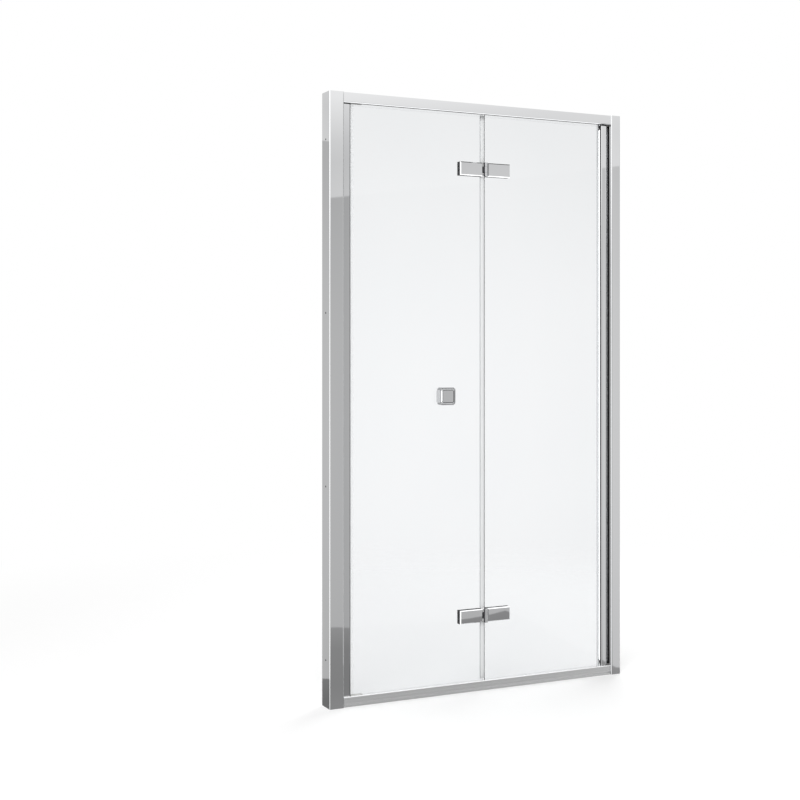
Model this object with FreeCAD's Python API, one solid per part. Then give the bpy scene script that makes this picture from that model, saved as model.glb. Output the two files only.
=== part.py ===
import FreeCAD, Part
import math
import os

Vector = FreeCAD.Vector

# Bifold shower door that fills a niche between two walls.
# X runs to the right as seen from the room, Y into the shower and Z up. The origin is on the underside
# of the bottom rail, halfway along the door, in the middle plane of the glass. All sizes are in mm.

# Whole door
door_width = 1100.0
door_height = 1950.0
frame_depth = 65.0
profile_wall = 2.0
seat_gap = 0.3
running_gap = 0.05

# Wall channels, screwed to the niche walls
closing_channel_width = 50.0
pivot_channel_width = 38.0
channel_lip = 10.0
channel_edge_round = 5.0
channel_corner_round = 3.0
wall_hole_radius = 3.25
wall_hole_inset = 150.0
wall_hole_middle_spacing = 550.0

# Jambs, which slide in the channels to take up an uneven wall
jamb_depth = 35.0
jamb_edge_round = 2.0
closing_jamb_reach = 76.0
closing_jamb_back = 14.0
pivot_jamb_reach = 20.0
pivot_jamb_back = 4.0
magnet_width = 12.0
magnet_depth = 6.0
spacer_length = 40.0
spacer_inset = 2.0
closing_spacer_width = 22.0
pivot_spacer_width = 14.0
lock_screw_inset = 250.0
lock_screw_radius = 2.0
lock_screw_bite = 2.0
lock_head_radius = 4.0
lock_head_height = 2.0

# Rails with a front fascia and a roller track
rail_height = 32.0
rail_depth = 52.0
rail_end_gap = 4.0
fascia_bead_depth = 5.0
fascia_bead_height = 4.0
fascia_bead_round = 3.0
sill_step_depth = 2.0
sill_step_height = 7.0
track_height = 16.0
track_slot = 10.0

# Corner blocks and their screws
closing_corner_length = 66.0
pivot_corner_length = 18.0
tenon_length = 28.0
corner_screw_radius = 2.0
corner_screw_length = 10.0
corner_head_radius = 3.5
corner_head_height = 2.0
corner_screw_end = 11.0

# Glass panels
glass_thickness = 6.0
glass_hole_radius = 6.0
fold_glass_gap = 7.0
panel_clearance = 6.0

# Pivot stile with its pins and bearings
pivot_inset = 50.0
stile_radius = 16.0
stile_flat = 4.0
stile_edge_round = 6.0
stile_slot_depth = 13.0
gasket_thickness = 1.0
gasket_lip = 4.0
pivot_shank_radius = 5.0
pivot_shank_length = 30.0
pivot_collar_radius = 7.5
pivot_collar_height = 3.0
pivot_journal_radius = 4.0
bearing_lead = 16.0
bearing_tail = 24.0
bearing_screw_offset = 14.0
bearing_screw_radius = 2.0
bearing_head_radius = 4.0
washer_radius = 8.0
brush_base_width = 10.0
brush_base_depth = 4.0
brush_thickness = 3.0

# Guide shoes, pins and rollers at the closing edge
guide_inset = 16.0
shoe_length = 40.0
shoe_lead = 8.0
shoe_thickness = 18.0
shoe_clearance = 2.0
shoe_cover = 1.0
guide_pin_radius = 3.0
guide_shoulder_radius = 4.2
guide_head_radius = 5.0
guide_head_height = 0.9
roller_radius = 8.0
roller_height = 9.0

# Seals on the glass edges
closing_gap = 2.0
closing_head_length = 7.0
closing_head_width = 10.0
seal_wall = 1.2
seal_grip = 10.0
seal_fin = 2.0
seal_end_gap = 1.0
sweep_grip = 8.0
sweep_drop = 4.5

# Fold hinges
hinge_top_inset = 215.0
hinge_bottom_inset = 245.0
hinge_plate_length = 85.0
hinge_plate_height = 45.0
hinge_plate_thickness = 10.0
hinge_back_thickness = 8.0
hinge_bevel = 2.5
hinge_back_bevel = 1.5
hinge_pad_thickness = 1.0
hinge_axis_lead = 1.0
barrel_radius = 8.0
barrel_gap = 2.0
middle_knuckle_height = 20.0
hinge_pin_radius = 3.0
hinge_screw_near = 26.0
hinge_screw_pitch = 38.0
hinge_screw_radius = 3.0
hinge_screw_bite = 6.0
hinge_head_radius = 5.2
hinge_head_height = 3.0
hinge_socket_radius = 2.0
hinge_socket_depth = 1.5

# Knob
knob_from_fold = 148.0
knob_height = 980.0
knob_size = 58.0
knob_depth = 24.0
knob_corner = 10.0
knob_bevel = 3.5
knob_pad_size = 42.0
knob_groove_width = 2.0
knob_groove_depth = 1.5
inner_knob_size = 46.0
inner_knob_depth = 12.0
inner_knob_corner = 8.0
inner_knob_bevel = 2.5
knob_washer_size = 40.0
knob_washer_thickness = 1.0
knob_bolt_radius = 4.0
knob_bolt_bite = 8.0

# Places that follow from the sizes above
left_wall = -door_width / 2
right_wall = door_width / 2
frame_half = frame_depth / 2
jamb_half = jamb_depth / 2
rail_half = rail_depth / 2
glass_half = glass_thickness / 2
closing_face = left_wall + closing_jamb_reach
pivot_face = right_wall - pivot_jamb_reach
rail_left = left_wall + rail_end_gap
rail_right = right_wall - rail_end_gap
track_half = roller_radius + seat_gap
track_outer = track_half + profile_wall

# The guide pin and the pivot lie on one line, and the fold axis lies midway between them, so both panels
# always turn by the same angle and the guide pin keeps to the track.
pivot_x = right_wall - pivot_inset
guide_x = closing_face + guide_inset
fold_x = (pivot_x + guide_x) / 2
plate_back = -glass_half - hinge_pad_thickness
plate_front = plate_back - hinge_plate_thickness
fold_y = plate_front - hinge_axis_lead

glass_low = track_height + panel_clearance
glass_high = door_height - glass_low
stile_edge = pivot_x - stile_radius - stile_flat
slot_end = stile_edge + stile_slot_depth
fold_glass_left = closing_face + closing_gap + closing_head_length
fold_glass_right = fold_x - fold_glass_gap / 2
pivot_glass_left = fold_x + fold_glass_gap / 2
pivot_glass_right = slot_end - gasket_thickness
shoe_left = guide_x - shoe_lead
shoe_right = shoe_left + shoe_length
shoe_low = track_height + shoe_clearance
shoe_high = rail_height - shoe_cover
knob_x = fold_x - knob_from_fold
upper_hinge_z = door_height - hinge_top_inset
lower_hinge_z = hinge_bottom_inset
hinge_start = barrel_radius + barrel_gap
sleeve_radius = glass_hole_radius - seat_gap / 2
seal_low = rail_height + seal_end_gap
seal_high = door_height - seal_low
wall_hole_heights = [
    wall_hole_inset,
    door_height / 2 - wall_hole_middle_spacing / 2,
    door_height / 2 + wall_hole_middle_spacing / 2,
    door_height - wall_hole_inset,
]
lock_heights = [lock_screw_inset, door_height / 2, door_height - lock_screw_inset]
closing_spacer_x = left_wall + closing_jamb_back + spacer_inset + closing_spacer_width / 2
pivot_spacer_x = right_wall - pivot_jamb_back - pivot_spacer_width / 2
past = 1.0

pieces = {}


def outline(corners, to_point):
    """Closed wire through (u, v, radius) corners, each rounded to its radius."""
    turns = []
    for i, (u, v, radius) in enumerate(corners):
        here = Vector(u, v, 0)
        before = Vector(*corners[i - 1][:2], 0) - here
        after = Vector(*corners[(i + 1) % len(corners)][:2], 0) - here
        before.normalize()
        after.normalize()
        if radius <= 0:
            turns.append((here, None, here))
            continue
        half_angle = before.getAngle(after) / 2
        tangent = radius / math.tan(half_angle)
        inward = before + after
        inward.normalize()
        middle = here + inward * (radius / math.sin(half_angle) - radius)
        turns.append((here + before * tangent, middle, here + after * tangent))
    edges = []
    for i, (start, middle, stop) in enumerate(turns):
        if middle is not None:
            edges.append(Part.Arc(to_point(start), to_point(middle), to_point(stop)).toShape())
        following = turns[(i + 1) % len(turns)][0]
        if stop.distanceToPoint(following) > 1e-6:
            edges.append(Part.LineSegment(to_point(stop), to_point(following)).toShape())
    return Part.Wire(edges)


def plan_solid(corners, low, high):
    """Section drawn in X and Y, running up from low to high."""
    wire = outline(corners, lambda p: Vector(p.x, p.y, low))
    return Part.Face(wire).extrude(Vector(0, 0, high - low))


def rail_solid(corners, left, right):
    """Section drawn in Y and Z, running along X."""
    wire = outline(corners, lambda p: Vector(left, p.x, p.y))
    return Part.Face(wire).extrude(Vector(right - left, 0, 0))


def face_solid(centre_x, centre_z, size, corner, front, back):
    """Rounded square drawn in X and Z, running along Y."""
    half = size / 2
    corners = [(-half, -half, corner), (half, -half, corner), (half, half, corner), (-half, half, corner)]
    wire = outline(corners, lambda p: Vector(centre_x + p.x, front, centre_z + p.y))
    return Part.Face(wire).extrude(Vector(0, back - front, 0))


def box(x_ends, y_ends, z_ends):
    low = Vector(min(x_ends), min(y_ends), min(z_ends))
    size = [abs(ends[1] - ends[0]) for ends in (x_ends, y_ends, z_ends)]
    return Part.makeBox(*size, low)


def rod(radius, start, stop):
    start = Vector(*start)
    along = Vector(*stop) - start
    return Part.makeCylinder(radius, along.Length, start, along)


def upright(radius, x, y, low, high):
    return rod(radius, (x, y, low), (x, y, high))


def crosswise(radius, x, z, front, back):
    return rod(radius, (x, front, z), (x, back, z))


def cone(start_radius, stop_radius, start, stop):
    start = Vector(*start)
    along = Vector(*stop) - start
    return Part.makeCone(start_radius, stop_radius, along.Length, start, along)


def joined(shapes):
    return shapes[0].multiFuse(shapes[1:]).removeSplitter()


def flipped(shape):
    """The same piece at the other end of the door's height."""
    return shape.mirror(Vector(0, 0, door_height / 2), Vector(0, 0, 1))


def group(shapes):
    return Part.makeCompound(shapes)


def bevelled(shape, bevel, y):
    """Bevels the edges of the face that lies at y."""
    edges = [edge for edge in shape.Edges if all(abs(point.Point.y - y) < 1e-6 for point in edge.Vertexes)]
    return shape.makeChamfer(bevel, edges)


# Wall channels: C-shaped extrusions with the web on the wall. The lips are notched where the rails enter.
def wall_channel(wall_x, inward, width, lock_x):
    lip_end = frame_half - channel_lip
    flange = frame_half - profile_wall
    lip_back = width - profile_wall
    inner_round = channel_edge_round - profile_wall
    section = [
        (0, -frame_half, channel_corner_round),
        (width, -frame_half, channel_edge_round),
        (width, -lip_end, 0),
        (lip_back, -lip_end, 0),
        (lip_back, -flange, inner_round),
        (profile_wall, -flange, 0),
        (profile_wall, flange, 0),
        (lip_back, flange, inner_round),
        (lip_back, lip_end, 0),
        (width, lip_end, 0),
        (width, frame_half, channel_edge_round),
        (0, frame_half, channel_corner_round),
    ]
    channel = plan_solid([(wall_x + inward * u, v, r) for u, v, r in section], 0, door_height)
    notch_x = (wall_x + inward * (width - channel_edge_round), wall_x + inward * (width + past))
    notch = box(notch_x, (-flange, flange), (-past, rail_height + seat_gap))
    cuts = [notch, flipped(notch)]
    web = (wall_x - inward * past, wall_x + inward * (profile_wall + past))
    for height in wall_hole_heights:
        cuts.append(rod(wall_hole_radius, (web[0], 0, height), (web[1], 0, height)))
    for height in lock_heights:
        hole = lock_screw_radius + running_gap
        cuts.append(crosswise(hole, lock_x, height, flange - past, frame_half + past))
    return channel.cut(cuts)


pieces["closing_wall_channel"] = wall_channel(left_wall, 1, closing_channel_width, closing_spacer_x)
pieces["pivot_wall_channel"] = wall_channel(right_wall, -1, pivot_channel_width, pivot_spacer_x)


# Jambs: channels that open towards the wall and stand between the rails.
def jamb(wall_x, inward, back, reach, lock_x):
    inside = jamb_half - profile_wall
    section = [
        (back, -jamb_half, 0),
        (reach, -jamb_half, jamb_edge_round),
        (reach, jamb_half, jamb_edge_round),
        (back, jamb_half, 0),
        (back, inside, 0),
        (reach - profile_wall, inside, 0),
        (reach - profile_wall, -inside, 0),
        (back, -inside, 0),
    ]
    corners = [(wall_x + inward * u, v, r) for u, v, r in section]
    profile = plan_solid(corners, rail_height, door_height - rail_height)
    holes = []
    for height in lock_heights:
        hole = lock_screw_radius + running_gap
        holes.append(crosswise(hole, lock_x, height, inside - past, jamb_half + past))
    return profile.cut(holes)


jamb_heights = (rail_height, door_height - rail_height)
magnet_half = magnet_width / 2
pocket_half = magnet_half + profile_wall
magnet_back = closing_face - magnet_depth
pocket_back = magnet_back - profile_wall
pocket_front = closing_face - profile_wall / 2
pocket = box((pocket_back, pocket_front), (-pocket_half, pocket_half), jamb_heights)
magnet = box((magnet_back, closing_face), (-magnet_half, magnet_half), jamb_heights)
groove = box((magnet_back, closing_face + past), (-magnet_half, magnet_half), jamb_heights)
closing_jamb = jamb(left_wall, 1, closing_jamb_back, closing_jamb_reach, closing_spacer_x)
pieces["closing_jamb"] = joined([closing_jamb, pocket]).cut(groove)
pieces["pivot_jamb"] = jamb(right_wall, -1, pivot_jamb_back, pivot_jamb_reach, pivot_spacer_x)
pieces["closing_magnet_strip"] = magnet


# Packers between the jambs and the channels' flanges, and the screws that lock the jambs from inside.
def spacers(centre_x, width):
    shapes = []
    x_ends = (centre_x - width / 2, centre_x + width / 2)
    for height in lock_heights:
        z_ends = (height - spacer_length / 2, height + spacer_length / 2)
        back = box(x_ends, (jamb_half, frame_half - profile_wall), z_ends)
        hole = crosswise(lock_screw_radius + running_gap, centre_x, height, 0, frame_half)
        shapes.append(back.cut(hole))
        shapes.append(box(x_ends, (-jamb_half, -frame_half + profile_wall), z_ends))
    return group(shapes)


def lock_screw(x, height):
    tip = jamb_half - profile_wall - lock_screw_bite
    shank = crosswise(lock_screw_radius, x, height, tip, frame_half)
    head = crosswise(lock_head_radius, x, height, frame_half, frame_half + lock_head_height)
    return joined([shank, head])


pieces["closing_spacers"] = spacers(closing_spacer_x, closing_spacer_width)
pieces["pivot_spacers"] = spacers(pivot_spacer_x, pivot_spacer_width)
pieces["jamb_lock_screws"] = group(
    [lock_screw(x, height) for x in (closing_spacer_x, pivot_spacer_x) for height in lock_heights]
)


# Rails: one fascia towards the room, a low wall towards the shower, and a slotted track between them.
def rail(front_corners):
    inside = rail_half - profile_wall
    lip_low = track_height - profile_wall
    x_ends = (rail_left, rail_right)
    shapes = [
        rail_solid(front_corners, rail_left, rail_right),
        box(x_ends, (-inside - profile_wall / 2, rail_half), (0, profile_wall)),
        box(x_ends, (inside, rail_half), (0, track_height)),
    ]
    for side in (-1, 1):
        shapes.append(box(x_ends, (side * track_half, side * track_outer), (0, track_height)))
        shapes.append(box(x_ends, (side * track_slot / 2, side * track_outer), (lip_low, track_height)))
    return joined(shapes)


fascia_back = -rail_half + profile_wall
bead_back = -rail_half + fascia_bead_depth
bead_low = rail_height - fascia_bead_height
fascia_top = [
    (-rail_half, rail_height, fascia_bead_round),
    (bead_back, rail_height, 0),
    (bead_back, bead_low, 0),
    (fascia_back, bead_low, 0),
    (fascia_back, 0, 0),
]
sill_front = -rail_half - sill_step_depth
sill_step_top = sill_step_height + sill_step_depth
sill_step = [(sill_front, 0, 0), (sill_front, sill_step_height, 0), (-rail_half, sill_step_top, 0)]
plain_rail = rail([(-rail_half, 0, 0)] + fascia_top)
step_rail = rail(sill_step + fascia_top)

bearing_screw_x = pivot_x + bearing_screw_offset
corner_screw_z = track_height / 2
closing_corner_right = rail_left + closing_corner_length
pivot_corner_left = rail_right - pivot_corner_length
corner_screw_xs = [
    rail_left + corner_screw_end,
    closing_corner_right - corner_screw_end,
    rail_right - pivot_corner_length / 2,
]


def rail_holes():
    clear = bearing_screw_radius + running_gap
    wide = bearing_head_radius + running_gap
    sink = cone(wide, clear, (bearing_screw_x, 0, 0), (bearing_screw_x, 0, profile_wall))
    holes = [sink]
    for x in corner_screw_xs:
        hole = corner_screw_radius + running_gap
        holes.append(crosswise(hole, x, corner_screw_z, rail_half - profile_wall - past, rail_half + past))
    return holes


pieces["bottom_rail"] = step_rail.cut(rail_holes())
pieces["top_rail"] = flipped(plain_rail.cut(rail_holes()))


# Corner blocks: two feet beside the track, a bridge over it and a tenon that plugs the jamb's end.
def corner_block(x_ends, tenon_x_ends, screw_xs):
    foot_front = -rail_half + profile_wall + seat_gap
    foot_back = rail_half - profile_wall
    bridge_front = -rail_half + fascia_bead_depth + seat_gap
    beside = track_outer + seat_gap
    tenon_half = jamb_half - profile_wall - seat_gap
    shapes = [
        box(x_ends, (bridge_front, foot_back), (track_height, rail_height)),
        box(x_ends, (foot_front, -beside), (profile_wall, track_height + past)),
        box(x_ends, (beside, foot_back), (profile_wall, track_height + past)),
        box(tenon_x_ends, (-tenon_half, tenon_half), (rail_height - past, rail_height + tenon_length)),
    ]
    holes = []
    for x in screw_xs:
        bottom = foot_back - corner_screw_length - seat_gap
        holes.append(crosswise(corner_screw_radius + running_gap, x, corner_screw_z, bottom, rail_half))
    return joined(shapes).cut(holes)


closing_tenon = (left_wall + closing_jamb_back, pocket_back - seat_gap)
pivot_tenon = (pivot_face + profile_wall + seat_gap, right_wall - pivot_jamb_back)
left_block = corner_block((rail_left, closing_corner_right), closing_tenon, corner_screw_xs[:2])
right_block = corner_block((pivot_corner_left, rail_right), pivot_tenon, corner_screw_xs[2:])
pieces["corner_block_bottom_left"] = left_block
pieces["corner_block_bottom_right"] = right_block
pieces["corner_block_top_left"] = flipped(left_block)
pieces["corner_block_top_right"] = flipped(right_block)


def corner_screw(x):
    tip = rail_half - profile_wall - corner_screw_length
    shank = crosswise(corner_screw_radius, x, corner_screw_z, tip, rail_half)
    head = crosswise(corner_head_radius, x, corner_screw_z, rail_half, rail_half + corner_head_height)
    return joined([shank, head])


low_corner_screws = [corner_screw(x) for x in corner_screw_xs]
pieces["corner_screws"] = group(low_corner_screws + [flipped(screw) for screw in low_corner_screws])

# Brush seal: closes the gap between the pivot jamb and the round back of the stile.
brush_root = pivot_face - brush_base_depth
brush_tip = pivot_x + stile_radius + seat_gap
brush_base_ends = (-brush_base_width / 2, brush_base_width / 2)
brush_ends = (-brush_thickness / 2, brush_thickness / 2)
brush_base = box((brush_root, pivot_face), brush_base_ends, jamb_heights)
brush_blade = box((brush_tip, brush_root + past), brush_ends, jamb_heights)
pieces["stile_brush_seal"] = joined([brush_base, brush_blade])

# Pivot bearings: blocks in the ends of the tracks, each held by one countersunk screw through the rail.
bearing_low = profile_wall
bearing_high = track_height - profile_wall
bearing_x_ends = (pivot_x - bearing_lead, pivot_x + bearing_tail)
bearing_half = roller_radius
bearing = box(bearing_x_ends, (-bearing_half, bearing_half), (bearing_low, bearing_high))
bearing = bearing.cut([
    upright(pivot_journal_radius + running_gap, pivot_x, 0, bearing_low - past, bearing_high + past),
    upright(bearing_screw_radius + running_gap, bearing_screw_x, 0, bearing_low - past, bearing_high + past),
])
bearing_head = cone(
    bearing_head_radius, bearing_screw_radius, (bearing_screw_x, 0, 0), (bearing_screw_x, 0, profile_wall)
)
bearing_shank = upright(bearing_screw_radius, bearing_screw_x, 0, bearing_low, bearing_high)
bearing_screw = joined([bearing_head, bearing_shank])
pieces["bottom_pivot_block"] = bearing
pieces["top_pivot_block"] = flipped(bearing)
pieces["pivot_block_screws"] = group([bearing_screw, flipped(bearing_screw)])

# Thrust washer: lies on the bottom track and carries the panels' weight.
collar_low = glass_low - pivot_collar_height
washer_high = collar_low - seat_gap
washer = upright(washer_radius, pivot_x, 0, track_height, washer_high)
washer_bore_radius = pivot_journal_radius + seat_gap
washer_bore = upright(washer_bore_radius, pivot_x, 0, track_height - past, washer_high + past)
pieces["pivot_thrust_washer"] = washer.cut(washer_bore)

# Pivot stile: extrusion with a round back about the pivot axis, a slot for the glass and a bore for the pins.
stile_right = pivot_x + stile_radius
stile = plan_solid(
    [
        (stile_edge, -stile_radius, stile_edge_round),
        (stile_right, -stile_radius, stile_radius),
        (stile_right, stile_radius, stile_radius),
        (stile_edge, stile_radius, stile_edge_round),
    ],
    glass_low,
    glass_high,
)
slot_half = glass_half + gasket_thickness
slot_heights = (glass_low - past, glass_high + past)
stile_slot = box((stile_edge - past, slot_end), (-slot_half, slot_half), slot_heights)
stile_bore = upright(pivot_shank_radius + running_gap, pivot_x, 0, *slot_heights)
pieces["pivot_stile"] = stile.cut([stile_slot, stile_bore])

# Gasket: a U of black rubber round the glass edge in the stile's slot, with a lip that shows beside it.
gasket_left = stile_edge - gasket_lip
panel_heights = (glass_low, glass_high)
gasket = box((gasket_left, slot_end), (-slot_half, slot_half), panel_heights)
gasket_inside = box((gasket_left - past, pivot_glass_right), (-glass_half, glass_half), (0, door_height))
pieces["stile_gasket"] = gasket.cut(gasket_inside)

# Pivot pins: a shank in the stile, a collar under its end and a journal in the bearing.
pivot_pin = joined([
    upright(pivot_shank_radius, pivot_x, 0, glass_low - past, glass_low + pivot_shank_length),
    upright(pivot_collar_radius, pivot_x, 0, collar_low, glass_low),
    upright(pivot_journal_radius, pivot_x, 0, profile_wall + seat_gap, collar_low + past),
])
pieces["bottom_pivot_pin"] = pivot_pin
pieces["top_pivot_pin"] = flipped(pivot_pin)

# Glass panels, drilled for the hinges and the knob.
hinge_heights = (lower_hinge_z, upper_hinge_z)
hinge_screw_steps = (hinge_start + hinge_screw_near, hinge_start + hinge_screw_near + hinge_screw_pitch)


def hinge_screw_xs(side):
    return [fold_x + side * step for step in hinge_screw_steps]


def drilled_glass(left, right, centres):
    glass = box((left, right), (-glass_half, glass_half), panel_heights)
    holes = [crosswise(glass_hole_radius, x, z, -glass_thickness, glass_thickness) for x, z in centres]
    return glass.cut(holes)


fold_hole_centres = [(x, z) for x in hinge_screw_xs(-1) for z in hinge_heights]
pivot_hole_centres = [(x, z) for x in hinge_screw_xs(1) for z in hinge_heights]
fold_hole_centres.append((knob_x, knob_height))
pieces["fold_glass"] = drilled_glass(fold_glass_left, fold_glass_right, fold_hole_centres)
pieces["pivot_glass"] = drilled_glass(pivot_glass_left, pivot_glass_right, pivot_hole_centres)


# Hinge leaves: bevelled plates with knuckles about the fold axis. Side -1 is the fold panel's leaf, with
# the middle knuckle, and side 1 the pivot panel's, with the two outer ones.
def plate_x(side):
    return (fold_x + side * hinge_start, fold_x + side * (hinge_start + hinge_plate_length))


def hinge_front_plate(side, height):
    z_ends = (height - hinge_plate_height / 2, height + hinge_plate_height / 2)
    plate = bevelled(box(plate_x(side), (plate_front, plate_back), z_ends), hinge_bevel, plate_front)
    middle_half = middle_knuckle_height / 2
    if side < 0:
        knuckles = [(height - middle_half, height + middle_half)]
    else:
        clear_half = middle_half + seat_gap
        knuckles = [(z_ends[0], height - clear_half), (height + clear_half, z_ends[1])]
    shapes = [plate]
    arm_x = (fold_x, fold_x + side * (hinge_start + past))
    for knuckle in knuckles:
        shapes.append(upright(barrel_radius, fold_x, fold_y, *knuckle))
        shapes.append(box(arm_x, (plate_front + hinge_bevel, plate_back - past), knuckle))
    cuts = [upright(hinge_pin_radius + running_gap, fold_x, fold_y, z_ends[0] - past, z_ends[1] + past)]
    for x in hinge_screw_xs(side):
        bite_end = plate_back - hinge_screw_bite - seat_gap
        cuts.append(crosswise(hinge_screw_radius + running_gap, x, height, bite_end, plate_back + past))
    return joined(shapes).cut(cuts)


back_plate_front = glass_half + hinge_pad_thickness
back_plate_back = back_plate_front + hinge_back_thickness
screw_seat = back_plate_back - hinge_head_height - seat_gap


def hinge_back_plate(side, height):
    z_ends = (height - hinge_plate_height / 2, height + hinge_plate_height / 2)
    plate = box(plate_x(side), (back_plate_front, back_plate_back), z_ends)
    plate = bevelled(plate, hinge_back_bevel, back_plate_back)
    cuts = []
    for x in hinge_screw_xs(side):
        head_hole = hinge_head_radius + seat_gap / 2
        cuts.append(crosswise(hinge_screw_radius + running_gap, x, height, 0, back_plate_back))
        cuts.append(crosswise(head_hole, x, height, screw_seat, back_plate_back + past))
    return plate.cut(cuts)


def hinge_pads(side):
    """Thin pads under the plates. The front one has sleeves that line the holes in the glass."""
    shapes = []
    for height in hinge_heights:
        z_ends = (height - hinge_plate_height / 2, height + hinge_plate_height / 2)
        front = box(plate_x(side), (plate_back, -glass_half), z_ends)
        back = box(plate_x(side), (glass_half, back_plate_front), z_ends)
        sleeves = []
        bores = []
        for x in hinge_screw_xs(side):
            sleeve_start = -glass_half - hinge_pad_thickness / 2
            sleeves.append(crosswise(sleeve_radius, x, height, sleeve_start, glass_half))
            bore_radius = hinge_screw_radius + running_gap
            bores.append(crosswise(bore_radius, x, height, plate_back - past, back_plate_back))
        shapes.append(joined([front] + sleeves).cut(bores))
        shapes.append(back.cut(bores))
    return group(shapes)


def hinge_screws(side):
    shapes = []
    for height in hinge_heights:
        for x in hinge_screw_xs(side):
            head_top = screw_seat + hinge_head_height
            tip = plate_back - hinge_screw_bite
            shank = crosswise(hinge_screw_radius, x, height, tip, screw_seat + past)
            head = crosswise(hinge_head_radius, x, height, screw_seat, head_top)
            socket_floor = head_top - hinge_socket_depth
            socket = crosswise(hinge_socket_radius, x, height, socket_floor, head_top + past)
            shapes.append(joined([shank, head]).cut(socket))
    return group(shapes)


for level, height in (("upper", upper_hinge_z), ("lower", lower_hinge_z)):
    for panel, side in (("fold", -1), ("pivot", 1)):
        pieces[f"{level}_hinge_{panel}_plate"] = hinge_front_plate(side, height)
        pieces[f"{level}_hinge_{panel}_back_plate"] = hinge_back_plate(side, height)
    pin_ends = (height - hinge_plate_height / 2, height + hinge_plate_height / 2)
    pieces[f"{level}_hinge_pin"] = upright(hinge_pin_radius, fold_x, fold_y, *pin_ends)
for panel, side in (("fold", -1), ("pivot", 1)):
    pieces[f"{panel}_hinge_pads"] = hinge_pads(side)
    pieces[f"{panel}_hinge_screws"] = hinge_screws(side)


# Seals: clear extrusions that grip the glass edges.
def edge_grip(edge, inward, z_ends):
    outer = glass_half + seal_wall
    grip = (edge, edge + inward * seal_grip)
    base = (edge - inward * seal_wall, edge)
    return [
        box(grip, (-outer, -glass_half), z_ends),
        box(grip, (glass_half, outer), z_ends),
        box(base, (-outer, outer), z_ends),
    ]


seal_heights = (seal_low, seal_high)
fin_x = (fold_glass_right, pivot_glass_left - seat_gap)
fold_fin = box(fin_x, (-seal_fin / 2, seal_fin / 2), seal_heights)
fold_seal = joined(edge_grip(fold_glass_right, -1, seal_heights) + [fold_fin])
hinge_gaps = []
for height in hinge_heights:
    half = hinge_plate_height / 2 + seal_end_gap
    gap_x = (fold_glass_right - seal_grip - past, pivot_glass_left)
    hinge_gaps.append(box(gap_x, (-frame_half, frame_half), (height - half, height + half)))
pieces["fold_edge_seal"] = fold_seal.cut(hinge_gaps)

head_half = closing_head_width / 2
closing_head_x = (fold_glass_left - closing_head_length, fold_glass_left)
closing_head = box(closing_head_x, (-head_half, head_half), seal_heights)
pieces["closing_edge_seal"] = joined(edge_grip(fold_glass_left, 1, seal_heights) + [closing_head])


def sweep(left, right):
    """Drip seal under the glass, with a fin that ends just over the track."""
    outer = glass_half + seal_wall
    grip = (glass_low, glass_low + sweep_grip)
    return joined([
        box((left, right), (-outer, -glass_half), grip),
        box((left, right), (glass_half, outer), grip),
        box((left, right), (-outer, outer), (glass_low - seal_wall, glass_low)),
        box((left, right), (-seal_fin / 2, seal_fin / 2), (glass_low - sweep_drop, glass_low)),
    ])


pieces["fold_panel_sweep"] = sweep(shoe_right + seat_gap, fold_glass_right)
pieces["pivot_panel_sweep"] = sweep(pivot_glass_left, gasket_left - seat_gap)

# Guide shoes: blocks bonded over the glass corners at the closing edge, hidden by the rails' fascias.
shoe_half = shoe_thickness / 2
shoe = box((shoe_left, shoe_right), (-shoe_half, shoe_half), (shoe_low, shoe_high))
slot_x = (fold_glass_left, shoe_right + past)
shoe_slot = box(slot_x, (-glass_half, glass_half), (glass_low, shoe_high + past))
pin_bore = upright(guide_pin_radius + running_gap, guide_x, 0, shoe_low - past, glass_low)
shoe = shoe.cut([shoe_slot, pin_bore])
pieces["bottom_guide_shoe"] = shoe
pieces["top_guide_shoe"] = flipped(shoe)

# Guide pins and rollers: the roller turns on the pin between its shoulder and its head.
head_low = profile_wall + seat_gap
roller_low = head_low + guide_head_height + seat_gap
roller_high = roller_low + roller_height
guide_pin = joined([
    upright(guide_pin_radius, guide_x, 0, head_low, glass_low),
    upright(guide_head_radius, guide_x, 0, head_low, head_low + guide_head_height),
    upright(guide_shoulder_radius, guide_x, 0, roller_high + seat_gap, shoe_low),
])
roller = upright(roller_radius, guide_x, 0, roller_low, roller_high)
roller = roller.cut(upright(guide_pin_radius + running_gap, guide_x, 0, head_low, shoe_low))
pieces["bottom_guide_pin"] = guide_pin
pieces["top_guide_pin"] = flipped(guide_pin)
pieces["bottom_guide_roller"] = roller
pieces["top_guide_roller"] = flipped(roller)

# Knob: a square grip outside and a flatter one inside, drawn together by one bolt through the glass.
outer_seat = -glass_half - knob_washer_thickness
inner_seat = glass_half + knob_washer_thickness
outer_face = outer_seat - knob_depth
inner_face = inner_seat + inner_knob_depth
bolt_bore = knob_bolt_radius + running_gap


def knob_rod(radius, front, back):
    return crosswise(radius, knob_x, knob_height, front, back)


grip_block = face_solid(knob_x, knob_height, knob_size, knob_corner, outer_face, outer_seat)
grip_block = bevelled(grip_block, knob_bevel, outer_face)
groove_size = knob_pad_size + 2 * knob_groove_width
pad_corner = knob_corner - (knob_size - knob_pad_size) / 4
groove_corner = pad_corner + knob_groove_width
groove_floor = outer_face + knob_groove_depth
knob_groove = face_solid(knob_x, knob_height, groove_size, groove_corner, outer_face - past, groove_floor)
knob_pad = face_solid(knob_x, knob_height, knob_pad_size, pad_corner, outer_face - past, groove_floor)
outer_bore = knob_rod(bolt_bore, outer_seat - knob_bolt_bite - seat_gap, outer_seat + past)
pieces["outer_knob"] = grip_block.cut([knob_groove.cut(knob_pad), outer_bore])

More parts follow.
